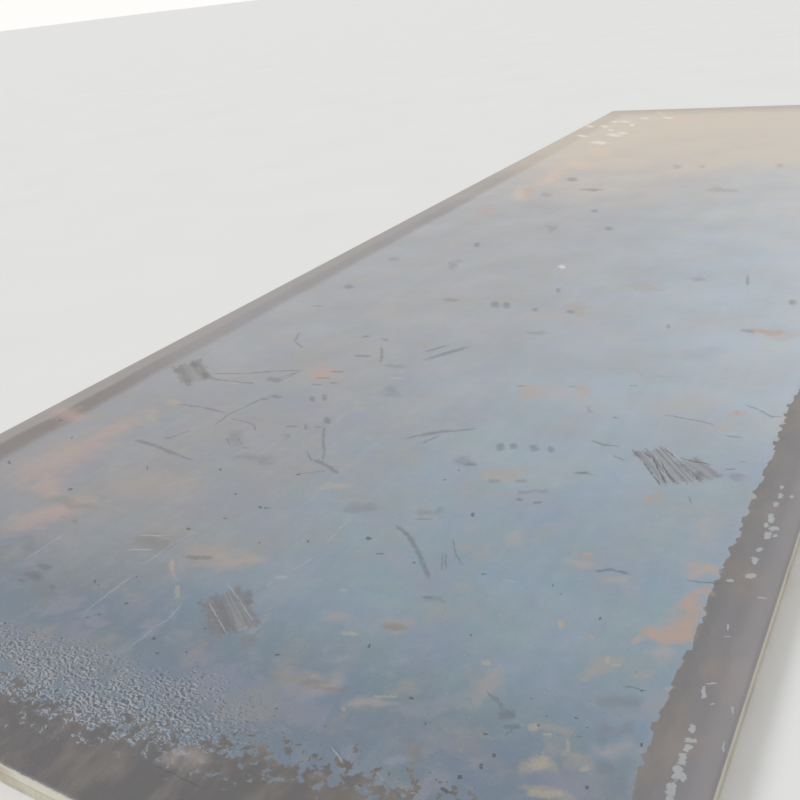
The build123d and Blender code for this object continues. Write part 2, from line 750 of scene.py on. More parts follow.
MARKS: dict[Kind, list[Oval]] = {
    Kind.HAZE: RIGHT.ovals(
        (400, 150, 310, 110), (1170, 330, 195, 57), (1130, 800, 205, 205), (150, 545, 255, 100),
        (1100, 1000, 240, 95), (200, 850, 155, 95), (1000, 220, 420, 170),
    ) + ovals(
        (370, -2665, 130, 80, 10), (820, -1000, 150, 90, 60), (100, -1000, 160, 120, 20),
        (-420, -1100, 180, 110, -30),
    ) + LEFT.ovals(
        (430, 200, 158, 29), (880, 690, 220, 67), (15, 355, 95, 100), (1000, 300, 120, 16),
    ) + LOW_RIGHT.ovals(
        (700, 100, 195, 55), (520, 20, 240, 76), (680, 900, 184, 119), (925, 440, 180, 125),
    ) + LOW.ovals(
        (490, 90, 300, 80), (1120, 740, 320, 70), (245, 1002, 290, 126),
    ),
    Kind.PEACH: FAR.ovals(
        (400, 385, 260, 60), (120, 540, 170, 90),
    ) + ovals(
        (-640, 940, 560, 190, -80), (-600, 1560, 420, 190, -60), (-420, 2560, 420, 160, -30),
    ),
    # Painted glints: near-white highlights on the top, most of them at the far-left corner.
    Kind.DUST: FAR.ovals(
        (545, 190, 70, 16), (600, 165, 60, 12), (650, 165, 90, 14), (690, 182, 40, 18),
        (755, 148, 70, 12), (580, 210, 50, 12), (640, 225, 80, 18), (520, 275, 120, 24),
        (470, 190, 60, 14), (430, 240, 80, 16), (880, 145, 80, 12),
        wider=0.9,
    ) + ovals(
        (-683, 2066, 190, 90, -45),
    ) + UPPER.ovals(
        (530, 725, 60, 24),
        longer=0.9,
        wider=0.6,
    ),
    Kind.BLOOM: ovals(
        (-690, -2140, 420, 170, 84), (-900, -2045, 240, 110, -10), (-620, -2350, 230, 110, -25),
        (-500, -2450, 260, 160, 60), (-700, -2240, 360, 280, 80),
    ) + UPPER.ovals(
        (385, 405, 90, 70), (200, 480, 160, 70),
    ) + RIGHT.ovals(
        (275, 155, 148, 94), (540, 150, 86, 102), (1270, 255, 135, 50), (1100, 1000, 180, 66),
    ) + LEFT.ovals(
        (820, 150, 200, 120),
    ) + LOW_RIGHT.ovals(
        (790, 390, 120, 60), (940, 610, 70, 50),
    ),
    Kind.RUST: EDGE.ovals(
        (1045, 1290, 190, 170), (990, 1400, 190, 160), (900, 1440, 255, 115),
        (1100, 1235, 135, 66),
    ) + ovals(
        (765, -978, 130, 75, 5),
    ) + LEFT.ovals(
        (800, 165, 90, 30), (885, 695, 44, 17),
    ) + RIGHT.ovals(
        (850, 668, 64, 33), (540, 905, 70, 20), (1262, 250, 37, 25),
    ) + RIGHT.strokes(
        (8, (765, 0), (778, 30), (800, 60)),
    ) + LOW_RIGHT.ovals(
        (547, 370, 30, 30),
    ),
    Kind.TAN: RIGHT.ovals(
        (890, 640, 120, 80), (535, 925, 130, 70), (147, 540, 205, 84),
        longer=1.15,
        wider=1.05,
    ) + ovals(
        (805, -2430, 44, 34, 20), (765, -2600, 72, 44, 15),
        (822, -2636, 46, 46, 30), (805, -2712, 90, 34, 10), (640, -2560, 100, 52, 80),
        (160, -900, 110, 70, 80), (-65, -2505, 90, 14, -32), (-360, -2270, 360, 200, 10),
        (0, -2440, 240, 100, 10), (715, -2232, 50, 34),
    ) + LOW.ovals(
        (1240, 380, 190, 90), (960, 360, 160, 60),
        longer=1.1,
        wider=1.05,
    ) + UPPER.ovals(
        (600, 915, 110, 70), (900, 810, 220, 70),
    ) + LOW_RIGHT.ovals(
        (430, 300, 60, 60), (600, 540, 140, 80), (820, 540, 120, 50), (338, 966, 190, 120),
        longer=1.1,
        wider=1.1,
    ) + RIGHT.strokes(
        (10, (800, 62), (850, 75), (1000, 82)), (8, (1000, 685), (1100, 700), (1200, 735)),
    ) + LEFT.ovals(
        (890, 760, 100, 20),
    ),
    Kind.LILAC: LEFT.ovals(
        (760, 350, 260, 90), (1020, 370, 200, 90), (1155, 235, 124, 92),
    ) + RIGHT.ovals(
        (300, 640, 200, 90), (450, 780, 200, 80), (560, 860, 103, 49),
    ) + LOW_RIGHT.ovals(
        (600, 880, 145, 148),
    ) + LOW.ovals(
        (1240, 1030, 128, 70),
    ) + ovals(
        (860, -1815, 54, 46, 85), (120, -1450, 160, 120, 30), (640, -1180, 180, 110, 60),
    ),
    Kind.CLOUD: UPPER.ovals(
        (1115, 780, 100, 26), (1230, 392, 170, 30), (480, 560, 60, 40), (465, 412, 60, 24),
        (85, 700, 50, 24), (1030, 290, 60, 22), (1140, 290, 50, 18), (1480, 285, 60, 24),
        (420, 1015, 120, 24),
    ) + LEFT.ovals(
        (1160, 120, 150, 36), (480, 560, 250, 60), (540, 575, 120, 40), (650, 458, 50, 40),
        (405, 470, 106, 78), (1500, 575, 130, 70), (1330, 825, 150, 60), (1370, 800, 60, 50),
        (1000, 800, 200, 60),
    ) + ovals(
        (-77, -1640, 100, 60, -54), (465, -2402, 54, 22), (-480, -2402, 190, 46),
        (-440, -2560, 100, 44, -30), (-250, -2675, 110, 50, -30), (-445, -560, 160, 50, -60),
        (-725, -530, 70, 60), (-250, -40, 150, 40, -80), (-520, 870, 110, 60, -50),
        (-320, 650, 90, 60, -40), (265, 690, 170, 60, -50), (352, -2668, 110, 60, 5),
    ) + RIGHT.ovals(
        (290, 625, 160, 30), (10, 480, 40, 60), (570, 238, 60, 34), (535, 540, 94, 23),
        (1255, 555, 110, 60),
    ) + LOW_RIGHT.ovals(
        (720, 670, 270, 130), (690, 800, 200, 90), (640, 990, 132, 90),
    ) + LOW.ovals(
        (350, 400, 90, 68),
    ),
    Kind.OCHRE: LOW.ovals(
        (218, 235, 34, 66), (195, 110, 30, 60), (985, 780, 30, 26), (1180, 720, 120, 20),
        (1010, 430, 90, 26),
        longer=1.1,
    ) + LEFT.ovals(
        (110, 295, 90, 36),
    ) + ovals(
        (-600, -1898, 44, 12),
    ) + LOW_RIGHT.ovals(
        (655, 478, 36, 43), (695, 500, 60, 20), (295, 793, 56, 40), (365, 828, 46, 22),
        (330, 960, 110, 80), (548, 993, 54, 30), (350, 1110, 190, 50), (465, 880, 26, 60),
        (75, 485, 50, 30), (430, 300, 34, 43),
        longer=1.15,
        wider=1.1,
    ),
    Kind.MUD: ovals(
        (415, -2664, 80, 18, 14), (712, -985, 50, 44),
    ) + LOW.ovals(
        (850, 655, 195, 40),
        (1310, 990, 110, 120), (1290, 940, 40, 80), (1220, 400, 157, 56), (545, 460, 100, 50),
        (870, 1090, 150, 60), (590, 950, 100, 60),
    ) + LOW.strokes(
        (15, (520, 500), (590, 420)),
    ) + LOW_RIGHT.ovals(
        (1150, 105, 90, 16),
    ) + RIGHT.ovals(
        (115, 575, 73, 30), (240, 575, 72, 27),
    ) + UPPER.ovals(
        (660, 390, 140, 16), (580, 345, 60, 24), (50, 870, 90, 20),
    ) + LOW_LEFT.ovals(
        (690, 860, 220, 110), (335, 765, 30, 20), (283, 750, 36, 14),
    ),
    Kind.PALE: LEFT.strokes(
        (8, (40, 700), (130, 675), (280, 645)), (5, (140, 950), (210, 910)),
        (6, (840, 965), (900, 895), (950, 850)), (5, (880, 390), (925, 345)),
    ) + LOW.strokes(
        (8, (60, 110), (140, 60)), (6, (0, 490), (60, 450), (110, 400), (170, 370), (240, 290)),
        (7, (760, 135), (850, 75)), (6, (640, 200), (700, 160)),
    ) + strokes(
        (5, (-137, -2500), (-130, -2421)), (5, (-101, -1728), (-101, -1673)),
    ) + ovals(
        (-130, -2620, 150, 9, 89), (-395, -2560, 150, 8, 88), (-185, -2430, 110, 6, 4),
        (-32, -500, 90, 26, 80),
    ) + LEFT.ovals(
        (1045, 472, 46, 8), (1170, 180, 90, 18),
    ) + LOW.ovals(
        (700, 170, 92, 21), (980, 230, 54, 19),
    ) + RIGHT.ovals(
        (1250, 345, 60, 12),
    ) + RIGHT.strokes(
        (5, (640, 445), (690, 455)),
    ) + LOW_RIGHT.strokes(
        (5, (150, 90), (220, 105)),
    ),
    Kind.RUB: LEFT.ovals(
        (212, 112, 60, 40), (240, 95, 24, 16), (130, 145, 46, 26), (265, 165, 50, 24),
        (185, 208, 39, 21), (470, 203, 60, 14), (590, 188, 90, 36), (890, 150, 70, 12),
        (820, 180, 80, 10), (870, 203, 50, 12), (790, 212, 60, 8), (770, 280, 40, 26),
        (828, 272, 34, 36), (600, 268, 60, 22), (540, 280, 50, 16), (85, 465, 40, 14),
        (842, 382, 50, 36), (672, 410, 66, 12), (740, 412, 22, 30), (800, 412, 40, 12),
        (1525, 590, 70, 20), (1300, 850, 90, 12), (1010, 75, 90, 21),
        longer=1.1,
    ) + LEFT.strokes(
        (13, (290, 158), (450, 158), (600, 147), (720, 143)),
        (11, (560, 195), (640, 172), (715, 148)), (9, (600, 200), (660, 175), (700, 152)),
        (12, (290, 180), (340, 190), (400, 195), (470, 205)),
        (12, (130, 305), (250, 318), (355, 345)),
        (8, (380, 372), (440, 385), (495, 402), (500, 430)), (11, (130, 545), (195, 568)),
        (9, (75, 470), (130, 450), (185, 432)), (12, (828, 415), (822, 470), (828, 525)),
        (7, (828, 525), (820, 570)), (18, (790, 572), (840, 595), (885, 628)),
        (7, (745, 530), (770, 575)), (6, (690, 638), (740, 632), (830, 620)),
        (15, (1225, 465), (1330, 440), (1440, 432), (1530, 422)),
        (24, (1300, 450), (1400, 432)), (11, (1300, 487), (1370, 455)),
        (11, (310, 400), (380, 350), (450, 318), (520, 285), (590, 265)),
        (20, (-60, 476), (25, 503), (130, 545)),
        (15, (1175, 885), (1230, 930), (1265, 990), (1290, 1045), (1323, 1125)),
    ) + strokes(
        (4, (-350, -2008), (-300, -2052)), (4, (-322, -2000), (-262, -2044)),
        (34, (-86, -1408), (-22, -1310)), (22, (-118, -1360), (-84, -1310)),
        (14, (-272, -1372), (-240, -1420), (-216, -1468)),
        (10, (-616, -1324), (-580, -1400), (-528, -1434)),
    ) + ovals(
        (-258, -2042, 26, 9, 15), (412, -1820, 40, 30, -50), (449, -2398, 28, 10, 25),
        (-716, -876, 70, 50, -40), (-704, -1088, 50, 18, 10), (-372, -1302, 34, 22, 20),
        (-296, -1310, 44, 20, -20),
    ) + RIGHT.ovals(
        (385, 425, 50, 36), (795, 445, 58, 32), (1090, 545, 56, 46), (240, 123, 50, 10),
        (490, 125, 50, 8), (780, 120, 50, 9), (690, 273, 29, 12), (1235, 519, 60, 12),
        (1300, 484, 30, 8), (235, 662, 40, 20), (320, 677, 47, 19), (144, 413, 56, 46),
        (206, 409, 58, 32), (529, 536, 84, 17),
    ) + RIGHT.strokes(
        (12, (588, 385), (635, 402), (692, 408)), (9, (685, 455), (728, 475)),
        (9, (930, 260), (1020, 278), (1100, 290), (1150, 305)),
        (10, (1320, 215), (1380, 240), (1430, 268), (1472, 268)), (9, (1225, 360), (1280, 367)),
        (5, (1040, 645), (1050, 680)),
    ) + LOW_RIGHT.strokes(
        (4, (80, 620), (130, 680), (185, 750)), (4, (110, 640), (160, 700), (215, 745)),
        (4, (165, 830), (230, 785)), (13, (610, 50), (670, 45), (740, 62)),
        (7, (1040, 95), (1110, 105), (1185, 112)), (5, (740, 600), (780, 603), (828, 620)),
    ) + LOW.strokes(
        (5, (1140, 1070), (1180, 1130), (1260, 1199)), (4, (980, 1060), (1040, 1150)),
        (4, (930, 940), (980, 1010)), (5, (1440, 60), (1440, 135)),
        (5, (1455, 60), (1457, 130)), (6, (1490, 0), (1500, 60), (1530, 110)),
    ) + LOW_LEFT.ovals(
        (150, 1010, 110, 60), (200, 970, 80, 40), (95, 1030, 40, 20), (235, 1060, 40, 30),
    ) + LOW_RIGHT.ovals(
        (175, 735, 108, 67), (200, 790, 103, 34),
    ) + LOW.ovals(
        (320, 80, 160, 30), (546, 262, 62, 94),
    ) + UPPER.ovals(
        (240, 890, 60, 34), (290, 893, 50, 34), (413, 912, 44, 20), (568, 922, 50, 20),
        (515, 828, 30, 24), (1340, 785, 24, 60), (672, 483, 50, 18), (735, 560, 50, 22),
        (160, 630, 40, 24), (995, 985, 24, 24), (1535, 880, 50, 30),
    ),
    Kind.SCORE: RIGHT.strokes(
        (5, (770, 425), (820, 475), (870, 550), (905, 592)),
        (7, (830, 440), (870, 470), (900, 530), (930, 585)),
        (4, (900, 470), (940, 540), (970, 585)),
        (5, (925, 420), (985, 470), (1050, 530), (1090, 575)),
        (6, (1000, 465), (1060, 480), (1140, 495)),
    ) + strokes(
        (3, (-480, -250), (-462, -330)), (2, (250, -2901), (368, -2903)),
        (5, (-436, -2204), (-428, -2214)),
    ) + ovals(
        (-890, -2084, 20, 10), (-818, -2312, 30, 8, -30),
    ),
    Kind.SPOT: ovals(
        (-72, -2629, 10, 8), (676, -2762, 15, 8), (-111, -2690, 10, 4, 20),
        (-97, -2675, 8, 4, 20), (-90, -2321, 10, 7), (-43, -2257, 14, 8, -20),
        (-29, -2254, 12, 7, 20), (-135, -2231, 10, 8, -30), (-49, -2108, 10, 8),
        (285, -2017, 7, 7), (294, -1968, 8, 4, -50), (-541, -2354, 15, 14),
        (-248, -2153, 15, 7, -30), (-528, -1434, 12, 8), (-765, -2153, 14, 8, -50),
    ) + LOW.ovals(
        (1298, 727, 30, 18), (1100, 489, 14, 18), (1362, 848, 12, 14), (1520, 1090, 30, 20),
        (680, 527, 28, 10), (108, 453, 18, 14), (125, 520, 30, 8), (260, 518, 12, 8),
        (348, 406, 20, 8), (820, 5, 12, 14), (597, 12, 8, 12), (1310, 103, 16, 6),
        (30, 170, 14, 10), (675, 778, 14, 8), (1060, 1130, 20, 14),
    ) + LOW_RIGHT.ovals(
        (115, 927, 18, 22), (52, 980, 24, 24), (75, 825, 20, 14), (516, 838, 14, 12),
        (816, 876, 16, 24), (620, 277, 16, 14), (328, 786, 14, 12), (505, 750, 24, 8),
        (555, 800, 16, 8), (816, 619, 22, 14), (395, 120, 12, 10), (430, 160, 14, 6),
        (557, 1078, 26, 18), (5, 355, 12, 16), (290, 660, 14, 6), (365, 742, 20, 6),
    ) + LOW_LEFT.ovals(
        (425, 1035, 12, 21), (440, 1055, 12, 10),
    ) + LEFT.ovals(
        (1040, 942, 34, 20), (1093, 1016, 42, 9), (184, 896, 24, 15),
    ) + RIGHT.ovals(
        (12, 735, 22, 22), (66, 1016, 26, 10),
    ),
    Kind.SCRAPE: LOW.strokes(
        (4, (450, 200), (510, 285), (565, 370)), (4, (365, 290), (405, 360), (450, 435)),
        (3, (500, 415), (545, 395)), (4, (930, 950), (985, 1030)),
        (4, (1140, 1075), (1170, 1110)),
    ) + RIGHT.strokes(
        (4, (880, 450), (920, 520), (945, 580)), (5, (960, 440), (1020, 500), (1080, 570)),
        (4, (1130, 490), (1175, 525)),
    ) + strokes(
        (3, (666, -1770), (700, -1830), (718, -1866)),
    ) + LEFT.strokes(
        (3, (880, 390), (925, 345)),
    ) + LOW_LEFT.ovals(
        (690, 830, 160, 6), (630, 893, 130, 8),
    ),
    Kind.FLAKE: RIGHT.ovals(
        (1455, 375, 40, 22), (1482, 605, 24, 18), (1475, 645, 34, 30), (1530, 648, 34, 18),
        (1455, 685, 32, 28), (1430, 750, 40, 50), (1408, 785, 30, 26), (1445, 800, 60, 26),
        (1415, 832, 52, 40), (1450, 835, 30, 16), (1375, 900, 42, 24), (1355, 952, 46, 36),
        (1335, 1025, 56, 28),
        longer=0.95,
        wider=0.75,
    ) + LOW_RIGHT.ovals(
        (1235, 98, 40, 14), (1385, 180, 50, 10), (1225, 318, 16, 34), (1225, 364, 36, 8),
        (1145, 588, 50, 12), (1110, 630, 36, 60), (1150, 683, 26, 12), (1055, 800, 44, 50),
        (1050, 857, 60, 34), (1035, 895, 50, 40), (1010, 945, 60, 70), (985, 1010, 60, 80),
        (1010, 1030, 50, 50), (955, 1090, 60, 80), (1248, 715, 16, 44), (1205, 890, 14, 60),
        longer=0.95,
        wider=0.75,
    ) + ovals(
        (951, -2660, 24, 10, -87),
    ),
}


@dataclass(frozen=True)
class Scuff:
    """A patch that something hard was dragged over: scratches side by side, some dark, some bare.

    Attributes:
        patch: Its outline, whose length runs along the scratches.
        scratches: About how many lie side by side.
        fill: How dark it is between them, from 0 to 1.
    """

    patch: Oval
    scratches: float
    fill: float

    def cover(self, graph: Graph, place: Wire) -> tuple[Wire, Wire, Wire]:
        """Draws the scratches.

        Args:
            graph: The graph to add to.
            place: The places, in metres.

        Returns:
            How far a place is dark, bare, and scraped bright, each from 0 to 1.
        """
        local = self.patch.local(graph, place)
        lengthwise = local * (0.06, self.scratches, 1.0) + (self.patch.across, 0.0, 0.0)
        lanes = graph.clouds(lengthwise, 1.0, 3.0, 0.65)
        broken = graph.clouds(local, 3.0, 4.0, 0.7)
        reach = 1 - abs(local.part("X")).larger(abs(local.part("Y")))
        inside = (reach + (broken - 0.5) * 1.1).rise(-0.05, 0.22)
        worn = broken.rise(0.30, 0.60) * 0.5 + 0.5
        dark = inside * worn * (lanes.rise(0.50, 0.42) * (1 - self.fill) + self.fill)
        bright = inside * (lanes.rise(0.56, 0.59) - lanes.rise(0.60, 0.63))
        return dark, inside, bright


SCUFFS = [
    Scuff(Oval(704, -1806, 166, 76, -51), 3.8, 0.22),
    Scuff(Oval(776, -1798, 100, 60, -42), 2.2, 0.35),
    Scuff(Oval(132, -2574, 138, 88, -35), 1.0, 0.70),
    Scuff(LEFT.oval(200, 152, 157, 98), 1.3, 0.45),
]


@dataclass(frozen=True)
class MillScale:
    """The finish of the rolled faces. Lengths are in metres, and relief in millimetres.

    Attributes:
        chips: How many chips a metre of the scale's border holds.
        right_band: The width of the bare band on the right.
        end_band: Its width at the two ends.
        end_band_growth: How much wider that gets towards the right.
        left_strip: The width of the pale strip on the left.
        left_band: How far in the brown band beside it reaches.
        flaked: How far past the end bands the flaked belt reaches.
        lobes: How many lobes a metre of the end bands' border holds.
        lobe_reach: How far they reach.
        islets: How many islets of scale a metre of it holds.
        islet_reach: How far they reach.
        blisters: How many blisters a metre of the flaked belt holds.
        blister_height: How high they stand.
        scale_depth: How deep the bare steel lies.
        ragged: How many turns a metre of a torn border takes.
        ragged_reach: How far they reach.
        dust_and_sheen_start: The Y in millimetres from where areas get a second coat of dust and
            painted sheen.
        wobbles: How many turns a metre of a tight mark's outline takes, and of a loose one's.
        wobble_reaches: How far they reach.
        batch: How many trios of marks are worked out at a time.
        crossing: How far a mark gives way to an earlier one.
        most_marks: How many marks an area may hold.
        left_border: The width of the areas along the left edge.
        right_border: Their width along the right edge.
        end_border: Their width along the two ends.
    """

    width: float
    length: float
    thickness: float
    blue: Colour = (0.176, 0.248, 0.306)
    grey: Colour = (0.228, 0.234, 0.250)
    # Painted sheen: the paler blue that the top takes on away from the near end, where light grazes
    # it.
    pale: Colour = (0.490, 0.525, 0.572)
    # Dust, with painted sheen of light grazing the far end, laid more and more towards it.
    dust_and_sheen: Colour = (0.590, 0.505, 0.408)
    dark: Colour = (0.060, 0.078, 0.100)
    light: Colour = (0.560, 0.590, 0.620)
    deep: Colour = (0.122, 0.162, 0.212)
    tan: Colour = (0.300, 0.270, 0.235)
    lilac: Colour = (0.245, 0.250, 0.295)
    bare: Colour = (0.188, 0.182, 0.190)
    mauve: Colour = (0.214, 0.188, 0.176)
    inner_bare: Colour = (0.145, 0.143, 0.138)
    edge_bare: Colour = (0.262, 0.248, 0.258)
    end_bare: Colour = (0.108, 0.104, 0.107)
    end_warm: Colour = (0.175, 0.148, 0.130)
    taupe: Colour = (0.205, 0.176, 0.168)
    rim: Colour = (0.360, 0.290, 0.270)
    strip: Colour = (0.310, 0.284, 0.266)
    # Wear and painted highlight of the rolled-over border.
    worn: Colour = (0.500, 0.500, 0.450)
    belt: Colour = (0.250, 0.243, 0.258)
    # Painted shade and painted highlight of the blisters' sides, away from and towards the light.
    blister_shade: Colour = (0.066, 0.074, 0.092)
    blister_highlight: Colour = (0.365, 0.385, 0.420)
    warm_shift: Colour = (0.26, 0.03, -0.26)
    rosy_shift: Colour = (0.12, -0.10, 0.12)
    scuff_dark: Colour = (0.088, 0.088, 0.092)
    scuff_bare: Colour = (0.262, 0.228, 0.216)
    scuff_bright: Colour = (0.400, 0.410, 0.420)
    chips: float = 52.0
    right_band: float = 0.100
    end_band: float = 0.105
    end_band_growth: float = 0.105
    left_strip: float = 0.066
    left_band: float = 0.138
    flaked: float = 0.190
    lobes: float = 30.0
    lobe_reach: float = 0.19
    islets: float = 62.0
    islet_reach: float = 0.26
    blisters: float = 165.0
    blister_height: float = 0.30
    scale_depth: float = 0.25
    ragged: float = 80.0
    ragged_reach: float = 0.003
    dust_and_sheen_start: float = -1400.0
    wobbles: tuple[float, float] = (90.0, 22.0)
    wobble_reaches: tuple[float, float] = (0.0018, 0.012)
    batch: int = 8
    crossing: float = 0.0004
    most_marks: int = 30
    left_border: float = 0.200
    right_border: float = 0.160
    end_border: float = 0.440

    def areas(self) -> list[Area]:
        """Cuts the top up, with the borders apart, into parts with few marks each.

        Returns:
            The parts, which fill the top.
        """
        half_x, half_y = self.width / 2, self.length / 2
        across = (-half_x, -half_x + self.left_border, half_x - self.right_border, half_x)
        along = (-half_y, -half_y + self.end_border, half_y - self.end_border, half_y)
        parts = []
        for left, right in zip(across, across[1:]):
            for near, far in zip(along, along[1:]):
                whole = Area(*(round(stop / MM) for stop in (left, right, near, far)))
                parts += whole.split(self.most_marks)
        return parts

    def material(self, area: Area | None = None) -> bpy.types.Material:
        """Makes the finish.

        Args:
            area: The part of the top that it is for, or nothing for the underside.

        Returns:
            The material of that part, rolled-over border included.
        """
        graph = Graph(bpy.data.materials.new("rolled_scale"))
        spot = graph.wire("TexCoord", {}, {}, "Object")
        top = spot.part("Z").rise(self.thickness * 0.4, self.thickness * 0.6)
        sockets = {"X": spot.part("X"), "Y": spot.part("Y"), "Z": top + 1}
        place = graph.wire("CombineXYZ", {}, sockets)
        skin = self.rolled(graph, place)
        half_x, half_y = self.width / 2, self.length / 2
        to_left, to_right, to_end = -half_x, half_x, half_y
        if area:
            to_left, to_right = area.left * MM, area.right * MM
            to_end = max(area.far, -area.near) * MM
        torn = graph.wander(place, self.ragged, self.ragged_reach)
        if to_left < self.left_border - half_x:
            self.lose_left(graph, skin, torn)
        if to_right > half_x - self.right_border or to_end > half_y - self.end_border:
            self.lose_scale(graph, skin, place, torn)
        # A second coat of dust and painted sheen on the areas towards the far end.
        if area and area.far > self.dust_and_sheen_start:
            skin.lay(self.drift_share(graph, place) * 0.6, self.dust_and_sheen, 0.45)
        if area:
            self.mark(graph, skin, place, area)
        # Wear and a painted highlight on the rolled-over border.
        if to_left == -half_x or to_right == half_x or to_end == half_y:
            self.wear_and_highlight_border(graph, skin, spot, place)
        return graph.close(skin)

    def rolled(self, graph: Graph, place: Wire) -> Skin:
        """The scale as the rolls leave it: blue-grey, cloudy, and streaked along the plate, under
        dust and painted sheen that grow towards the far end.

        Args:
            graph: The graph to add to.
            place: The places, in metres.

        Returns:
            The whole surface, with its scale.
        """
        across = place.part("X") / (self.width / 2)
        along = place.part("Y") / (self.length / 2)
        areas = graph.clouds(place, 0.9, 1.0) - 0.5
        clouds = graph.clouds(place, 5.0, 2.0) - 0.5
        streaks = graph.clouds(place * (38.0, 0.9, 1.0), 1.0, 1.0) - 0.5
        mottle = graph.clouds(place, 26.0, 4.0, 0.7)
        near_end = along.rise(-0.80, -0.90)
        blueness = across * 1.3 + near_end * 0.55 + areas * 1.2 + 0.25
        colour = graph.mixed(self.grey, self.blue, blueness.rise(0.0, 1.0))
        colour = colour.toward(self.deep, near_end * 0.8)
        skin = Skin(colour, mottle * 0.08 + 0.26, mottle * 0.12)
        self.stain(graph, skin, place, clouds)
        # Paler past the near end and warmer towards the far end: painted sheen of light grazing the
        # farther top, with dust on the far part.
        past_near = (along + areas * 0.3).rise(-0.97, -0.33)
        paleness = across * across * 0.20 + across * 0.26 + 0.27
        skin.lay(past_near * (paleness + clouds * 0.25), self.pale)
        skin.lay(self.drift_share(graph, place) * 0.7, self.dust_and_sheen, 0.45)
        amount = clouds * 0.24 + streaks * 0.10 + (mottle - 0.5) * 0.22
        skin.tint(amount, self.dark, self.light)
        warm = graph.clouds(place, 6.0, 3.0, 0.6) - 0.5
        rosy = graph.clouds(place + (7.0, 3.0, 0.0), 9.0, 3.0, 0.6) - 0.5
        hue = warm * self.warm_shift + rosy * self.rosy_shift + (1.0, 1.0, 1.0)
        skin.colour = skin.colour * hue
        return skin

    @staticmethod
    def drift_share(graph: Graph, place: Wire) -> Wire:
        """How much dust and painted sheen lies on a place, which is more and more towards the far
        end.
        """
        drift = graph.clouds(place, 1.3, 4.0, 0.6) - 0.5
        return (place.part("Y") + drift * 2.6).rise(-0.2, 2.4)

    def stain(self, graph: Graph, skin: Skin, place: Wire, clouds: Wire) -> None:
        """Gives the scale its faint blotches of other colours, and its specks.

        Args:
            graph: The graph to add to.
            skin: The surface so far.
            place: The places, in metres.
            clouds: Wide noise about 0.
        """
        blotches = graph.clouds(place, 11.0, 3.0, 0.62)
        specks = graph.clouds(place, 260.0, 0.0)
        skin.lay((blotches - clouds * 0.4).rise(0.52, 0.74) * 0.42, self.tan, 0.38)
        skin.lay((blotches + clouds * 0.7).rise(0.47, 0.32) * 0.45, self.lilac)
        skin.lay(specks.rise(0.79, 0.85) * 0.25, self.light)
        skin.lay(specks.rise(0.225, 0.175) * 0.60, self.dark)

    def lose_scale(self, graph: Graph, skin: Skin, place: Wire, torn: Wire) -> None:
        """Takes the scale off along the right edge and the ends, where it comes away in chips.

        Args:
            graph: The graph to add to.
            skin: The surface so far.
            place: The places, in metres.
            torn: The places with an uneven outline.
        """
        chip = graph.node("TexVoronoi", {}, {"Vector": place, "Scale": self.chips})
        middle = Wire(graph, chip.outputs["Position"])
        wobble = graph.clouds(place, 4.0, 2.0) - 0.5
        tone = graph.clouds(place * (2.5, 1.0, 1.0), 6.0, 3.0, 0.6)
        lobes = graph.clouds(torn, self.lobes, 3.0, 0.6) - 0.5
        x, y = place.part("X"), place.part("Y")
        side = self.width / 2 - x
        chipped_side = side.moved(self.width / 2 - middle.part("X"), 0.45)
        growth = x.rise(-0.2, 0.75) * self.end_band_growth + self.end_band + wobble * 0.08
        past_end = self.length / 2 - abs(y) - growth
        self.flake(graph, skin, torn, past_end, lobes)
        islets = graph.clouds(torn, self.islets, 2.0, 0.6) - 0.5
        chipped_end = past_end + lobes * self.lobe_reach + islets * self.islet_reach
        past = chipped_end.smaller(chipped_side - self.right_band - wobble * 0.03)
        bare = past.rise(0.0008, -0.0008)
        rim = past.rise(0.008, 0.004) * (1 - bare)
        skin.lay(rim * 0.12, self.rim, 0.45)
        at_end = chipped_end.rise(0.02, -0.02) * y.rise(0.1, -0.1)
        warmth = (tone + wobble * 0.5).rise(0.42, 0.66)
        colour = graph.mixed(self.bare, self.mauve, warmth)
        colour = colour.toward(graph.mixed(self.end_bare, self.end_warm, warmth * 0.6), at_end)
        skin.lay(bare, colour, 0.48, -self.scale_depth)
        skin.lay(past.rise(-0.040, -0.002) * bare * 0.55, self.inner_bare)
        skin.lay(side.rise(0.050, 0.015) * bare * 0.65, self.edge_bare)
        skin.tint((tone - 0.5) * bare * 0.25, self.dark, self.light)

    def lose_left(self, graph: Graph, skin: Skin, place: Wire) -> None:
        """Wears the scale off along the left edge, in a pale strip and a brown band.

        Args:
            graph: The graph to add to.
            skin: The surface so far.
            place: The places, in metres, with an uneven outline.
        """
        wobble = graph.clouds(place, 4.0, 2.0) - 0.5
        left = place.part("X") + self.width / 2 + wobble * 0.03
        band = left.rise(self.left_strip - 0.012, self.left_strip + 0.012)
        band = band * left.rise(self.left_band + 0.030, self.left_band - 0.020)
        band = band * (place.part("Y").rise(-1.5, -2.0) * 0.40 + 0.50)
        skin.lay(left.rise(self.left_strip + 0.01, self.left_strip - 0.01) * 0.8, self.strip, 0.55)
        skin.lay(band, self.taupe, 0.58, -self.scale_depth / 2)

    def flake(self, graph: Graph, skin: Skin, place: Wire, past: Wire, lobes: Wire) -> None:
        """Blisters the scale just inside the bands at the two ends, with painted light and shade.

        Args:
            graph: The graph to add to.
            skin: The surface so far.
            place: The places, in metres, with an uneven outline.
            past: How far a place lies inside the band, in metres.
            lobes: The noise that the band's edge follows, about 0.
        """
        patchy = graph.clouds(place, 9.0, 2.0, 0.65)
        zone = past.rise(self.flaked, self.flaked * 0.2) * (patchy + lobes * 0.6).rise(0.27, 0.50)
        zone = zone * (place.part("X").rise(0.45, 0.05) * 0.85 + 0.15)
        squeezed = place * (0.8, 1.25, 1.0)
        blisters = graph.clouds(squeezed, self.blisters, 2.0, 0.6)
